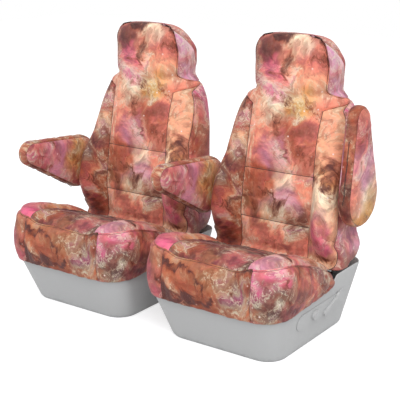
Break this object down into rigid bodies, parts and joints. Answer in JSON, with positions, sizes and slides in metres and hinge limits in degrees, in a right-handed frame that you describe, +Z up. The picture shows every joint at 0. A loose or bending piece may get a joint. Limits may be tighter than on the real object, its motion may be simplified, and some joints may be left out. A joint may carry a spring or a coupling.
{
  "type": "bucket seat pair with fitted covers",
  "caption": "Pair of bucket seats in fitted printed covers: reclining backs with one-piece headrests, folding armrests, padded cushions on moulded tub bases.",
  "frame": {"origin": "on the floor, at the centre of the pair's bounding box", "axes": "+Z up, the seats face -Y, +X is to the right seen from the front"},
  "size_m": [1.394, 0.7616, 1.095],
  "materials": {
    "printed_cloth": "knitted polyester, marbled print in pink, salmon, rust and cream",
    "foam": "cut polyurethane foam",
    "base_plastic": "light grey, fine grain",
    "frame_steel": "black paint",
    "zinc_steel": "zinc plated",
    "webbing": "black woven tape",
    "black_plastic": "black moulded"
  },
  "bodies": {
    "seats": {"left_base_shell": "base_plastic", "left_floor_frame": "frame_steel", "left_seat_pan": "frame_steel", "left_cushion_foam": "foam", "left_cushion_cover": "printed_cloth", "left_seat_straps": "webbing", "left_strap_buckles": "black_plastic", "left_strap_hooks": "zinc_steel", "left_side_shield": "base_plastic", "left_recliner_brackets": "zinc_steel", "left_recliner_bolts": "zinc_steel", "left_recliner_shaft": "zinc_steel", "right_base_shell": "base_plastic", "right_floor_frame": "frame_steel", "right_seat_pan": "frame_steel", "right_cushion_foam": "foam", "right_cushion_cover": "printed_cloth", "right_seat_straps": "webbing", "right_strap_buckles": "black_plastic", "right_strap_hooks": "zinc_steel", "right_side_shield": "base_plastic", "right_recliner_brackets": "zinc_steel", "right_recliner_bolts": "zinc_steel", "right_recliner_shaft": "zinc_steel"},
    "left_back": {"left_back_frame": "frame_steel", "left_headrest_posts": "zinc_steel", "left_post_guides": "black_plastic", "left_back_foam": "foam", "left_headrest_foam": "foam", "left_back_cover": "printed_cloth", "left_closure_strip": "webbing", "left_arm_bolt": "zinc_steel"},
    "left_recline_lever": {"left_recline_lever": "base_plastic"},
    "left_tilt_knob": {"left_tilt_knob": "base_plastic"},
    "right_back": {"right_back_frame": "frame_steel", "right_headrest_posts": "zinc_steel", "right_post_guides": "black_plastic", "right_back_foam": "foam", "right_headrest_foam": "foam", "right_back_cover": "printed_cloth", "right_closure_strip": "webbing", "middle_arm_bolt": "zinc_steel", "right_arm_bolt": "zinc_steel"},
    "right_recline_lever": {"right_recline_lever": "base_plastic"},
    "right_tilt_knob": {"right_tilt_knob": "base_plastic"},
    "left_arm": {"left_arm_cover": "printed_cloth", "left_arm_foam": "foam", "left_arm_plate": "frame_steel", "left_arm_zip": "webbing"},
    "middle_arm": {"middle_arm_cover": "printed_cloth", "middle_arm_foam": "foam", "middle_arm_plate": "frame_steel", "middle_arm_zip": "webbing"},
    "right_arm": {"right_arm_cover": "printed_cloth", "right_arm_foam": "foam", "right_arm_plate": "frame_steel", "right_arm_zip": "webbing"}
  },
  "joints": [
    {"name": "left_recline", "type": "hinge", "parent": "seats", "child": "left_back", "pos_m": [-0.345, 0.198, 0.285], "axis": [-1, 0, 0], "range_deg": [0, 25]},
    {"name": "left_recline_lever_turn", "type": "hinge", "parent": "seats", "child": "left_recline_lever", "pos_m": [-0.61538, 0.113, 0.146], "axis": [-0.9821, 0, -0.1882], "range_deg": [0, 28], "stiffness_Nm_per_rad": 0.8},
    {"name": "left_tilt_knob_turn", "type": "hinge", "parent": "seats", "child": "left_tilt_knob", "pos_m": [-0.61155, -0.057, 0.126], "axis": [-0.9821, 0, -0.1882], "range_deg": [-150, 150]},
    {"name": "right_recline", "type": "hinge", "parent": "seats", "child": "right_back", "pos_m": [0.345, 0.198, 0.285], "axis": [-1, 0, 0], "range_deg": [0, 25]},
    {"name": "right_recline_lever_turn", "type": "hinge", "parent": "seats", "child": "right_recline_lever", "pos_m": [0.61538, 0.113, 0.146], "axis": [-0.9821, 0, 0.1882], "range_deg": [0, 28], "stiffness_Nm_per_rad": 0.8},
    {"name": "right_tilt_knob_turn", "type": "hinge", "parent": "seats", "child": "right_tilt_knob", "pos_m": [0.61155, -0.057, 0.126], "axis": [0.9821, 0, -0.1882], "range_deg": [-150, 150]},
    {"name": "left_arm_lift", "type": "hinge", "parent": "left_back", "child": "left_arm", "pos_m": [-0.65, 0.14978, 0.46244], "axis": [-1, 0, 0], "range_deg": [0, 68]},
    {"name": "middle_arm_lift", "type": "hinge", "parent": "right_back", "child": "middle_arm", "pos_m": [0.04, 0.14978, 0.46244], "axis": [-1, 0, 0], "range_deg": [0, 68]},
    {"name": "right_arm_lift", "type": "hinge", "parent": "right_back", "child": "right_arm", "pos_m": [0.65, 0.14978, 0.46244], "axis": [1, 0, 0], "range_deg": [0, 68]}
  ]
}
